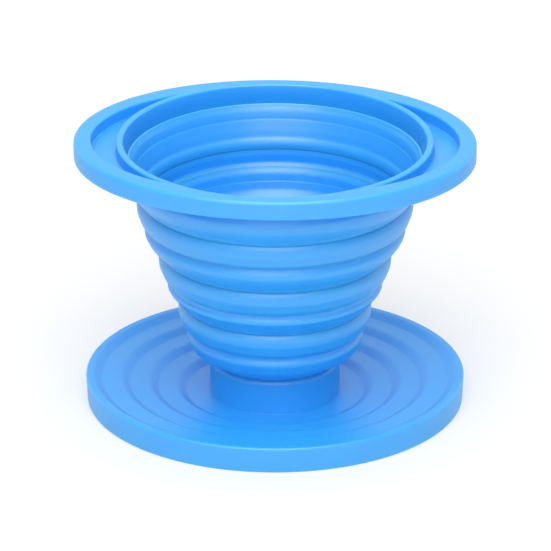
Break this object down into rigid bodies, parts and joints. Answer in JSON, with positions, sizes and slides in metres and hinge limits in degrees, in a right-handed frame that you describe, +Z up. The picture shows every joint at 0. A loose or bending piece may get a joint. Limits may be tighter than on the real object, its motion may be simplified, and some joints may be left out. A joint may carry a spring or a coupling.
{
  "type": "collapsible coffee dripper",
  "caption": "Folding silicone pour-over cone with an oval rim, stepped bellows rings, a neck and a stepped saucer that sits on a mug.",
  "frame": {"origin": "centre of the saucer's foot circle, on the table", "axes": "+Z up along the cone's axis, +X along the oval rim's long axis"},
  "size_m": [0.1262, 0.12, 0.0873],
  "materials": {
    "silicone_walls": "satin sky-blue silicone, thick walls",
    "silicone_folds": "satin sky-blue silicone, thin folds"
  },
  "bodies": {
    "saucer": {"saucer_skirt": "silicone_walls", "saucer_plate": "silicone_walls", "neck_collar": "silicone_walls", "drain_floor": "silicone_walls", "neck_fold": "silicone_folds"},
    "small_ring": {"small_ring": "silicone_walls", "lower_fold": "silicone_folds"},
    "middle_ring": {"middle_ring": "silicone_walls", "middle_fold": "silicone_folds"},
    "large_ring": {"large_ring": "silicone_walls", "upper_fold": "silicone_folds"},
    "rim": {"mouth_ring": "silicone_walls", "rim_band": "silicone_walls", "left_pocket_floor": "silicone_walls", "right_pocket_floor": "silicone_walls"}
  },
  "joints": [
    {"name": "neck_fold_travel", "type": "slide", "parent": "saucer", "child": "small_ring", "axis": [0, 0, -1], "range_m": [0, 0.0196], "deforming": ["neck_fold"]},
    {"name": "lower_fold_travel", "type": "slide", "parent": "small_ring", "child": "middle_ring", "axis": [0, 0, -1], "range_m": [0, 0.0172], "deforming": ["lower_fold"]},
    {"name": "middle_fold_travel", "type": "slide", "parent": "middle_ring", "child": "large_ring", "axis": [0, 0, -1], "range_m": [0, 0.0175], "deforming": ["middle_fold"]},
    {"name": "upper_fold_travel", "type": "slide", "parent": "large_ring", "child": "rim", "axis": [0, 0, -1], "range_m": [0, 0.017], "deforming": ["upper_fold"]}
  ]
}
